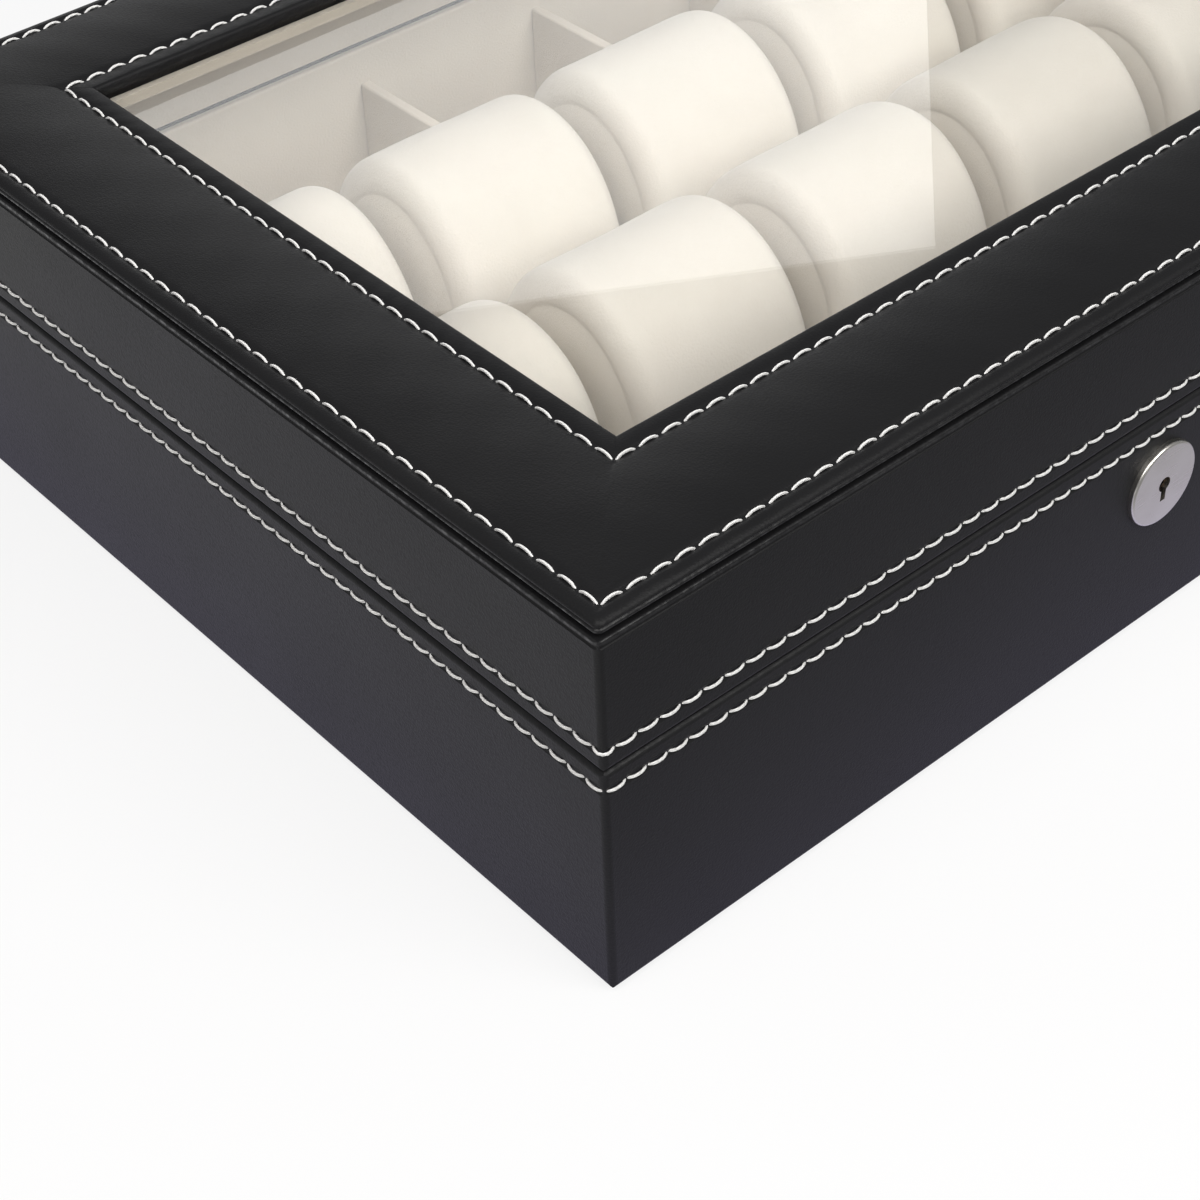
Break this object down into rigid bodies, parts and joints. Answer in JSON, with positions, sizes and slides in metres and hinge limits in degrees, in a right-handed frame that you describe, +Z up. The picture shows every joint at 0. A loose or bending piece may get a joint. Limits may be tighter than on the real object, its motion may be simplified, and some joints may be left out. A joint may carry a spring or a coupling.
{
  "type": "watch box",
  "caption": "Leather-wrapped watch box with a hinged, glazed lid, padded frame, stitched seams, suede-lined slots and soft watch pillows.",
  "frame": {"origin": "centre of the underside, on the table", "axes": "+X to the right along the front, +Y to the back where the hinges are, +Z up"},
  "size_m": [0.26, 0.2185, 0.08],
  "materials": {
    "black_leather": "satin grained",
    "board": "raw fibreboard",
    "stained_board": "fibreboard stained black",
    "black_felt": "matt",
    "foam": "matt",
    "pillow_suede": "suede",
    "cream_lining": "suede",
    "clear_glass": "polished",
    "white_thread": "twisted thread",
    "nickel": "polished nickel"
  },
  "bodies": {
    "base": {"base_felt": "black_felt", "base_lining_back": "cream_lining", "base_lining_front": "cream_lining", "base_lining_left": "cream_lining", "base_lining_right": "cream_lining", "base_screws": "nickel", "base_wall_back": "board", "base_wall_front": "board", "base_wall_left": "board", "base_wall_right": "board", "base_wrap": "black_leather", "divider_cross_1": "cream_lining", "divider_cross_2": "cream_lining", "divider_cross_3": "cream_lining", "divider_cross_4": "cream_lining", "divider_long": "cream_lining", "floor_board": "board", "floor_pad": "cream_lining", "hinge_left_base_leaf": "nickel", "hinge_left_pin": "nickel", "hinge_right_base_leaf": "nickel", "hinge_right_pin": "nickel", "lock_case": "nickel", "lock_escutcheon": "nickel"},
    "lid": {"glass_pane": "clear_glass", "glass_retainer_back": "cream_lining", "glass_retainer_front": "cream_lining", "glass_retainer_left": "cream_lining", "glass_retainer_right": "cream_lining", "hinge_left_lid_leaf": "nickel", "hinge_right_lid_leaf": "nickel", "lid_frame_foam": "foam", "lid_frame_leather": "black_leather", "lid_lining_back": "cream_lining", "lid_lining_front": "cream_lining", "lid_lining_left": "cream_lining", "lid_lining_right": "cream_lining", "lid_rail_back": "stained_board", "lid_rail_front": "stained_board", "lid_rail_left": "stained_board", "lid_rail_right": "stained_board", "lid_screws": "nickel", "lid_wall_back": "board", "lid_wall_front": "board", "lid_wall_left": "board", "lid_wall_right": "board", "lid_wrap": "black_leather", "lock_strike": "nickel"},
    "lock_bolt": {"lock_bolt": "nickel"},
    "pillow_back_1": {"pillow_back_1": "pillow_suede"},
    "pillow_back_2": {"pillow_back_2": "pillow_suede"},
    "pillow_back_3": {"pillow_back_3": "pillow_suede"},
    "pillow_back_4": {"pillow_back_4": "pillow_suede"},
    "pillow_back_5": {"pillow_back_5": "pillow_suede"},
    "pillow_front_1": {"pillow_front_1": "pillow_suede"},
    "pillow_front_2": {"pillow_front_2": "pillow_suede"},
    "pillow_front_3": {"pillow_front_3": "pillow_suede"},
    "pillow_front_4": {"pillow_front_4": "pillow_suede"},
    "pillow_front_5": {"pillow_front_5": "pillow_suede"}
  },
  "joints": [
    {"name": "lid_hinge", "type": "hinge", "parent": "base", "child": "lid", "pos_m": [0, 0.1073, 0.0497], "axis": [-1, 0, 0], "range_deg": [0, 95]},
    {"name": "lock_bolt_slide", "type": "slide", "parent": "base", "child": "lock_bolt", "axis": [1, 0, 0], "range_m": [0, 0.004]},
    {"name": "pillow_back_1_lift", "type": "slide", "parent": "base", "child": "pillow_back_1", "axis": [0, 0, 1], "range_m": [0, 0.003]},
    {"name": "pillow_back_2_lift", "type": "slide", "parent": "base", "child": "pillow_back_2", "axis": [0, 0, 1], "range_m": [0, 0.003]},
    {"name": "pillow_back_3_lift", "type": "slide", "parent": "base", "child": "pillow_back_3", "axis": [0, 0, 1], "range_m": [0, 0.003]},
    {"name": "pillow_back_4_lift", "type": "slide", "parent": "base", "child": "pillow_back_4", "axis": [0, 0, 1], "range_m": [0, 0.003]},
    {"name": "pillow_back_5_lift", "type": "slide", "parent": "base", "child": "pillow_back_5", "axis": [0, 0, 1], "range_m": [0, 0.003]},
    {"name": "pillow_front_1_lift", "type": "slide", "parent": "base", "child": "pillow_front_1", "axis": [0, 0, 1], "range_m": [0, 0.003]},
    {"name": "pillow_front_2_lift", "type": "slide", "parent": "base", "child": "pillow_front_2", "axis": [0, 0, 1], "range_m": [0, 0.003]},
    {"name": "pillow_front_3_lift", "type": "slide", "parent": "base", "child": "pillow_front_3", "axis": [0, 0, 1], "range_m": [0, 0.003]},
    {"name": "pillow_front_4_lift", "type": "slide", "parent": "base", "child": "pillow_front_4", "axis": [0, 0, 1], "range_m": [0, 0.003]},
    {"name": "pillow_front_5_lift", "type": "slide", "parent": "base", "child": "pillow_front_5", "axis": [0, 0, 1], "range_m": [0, 0.003]}
  ]
}
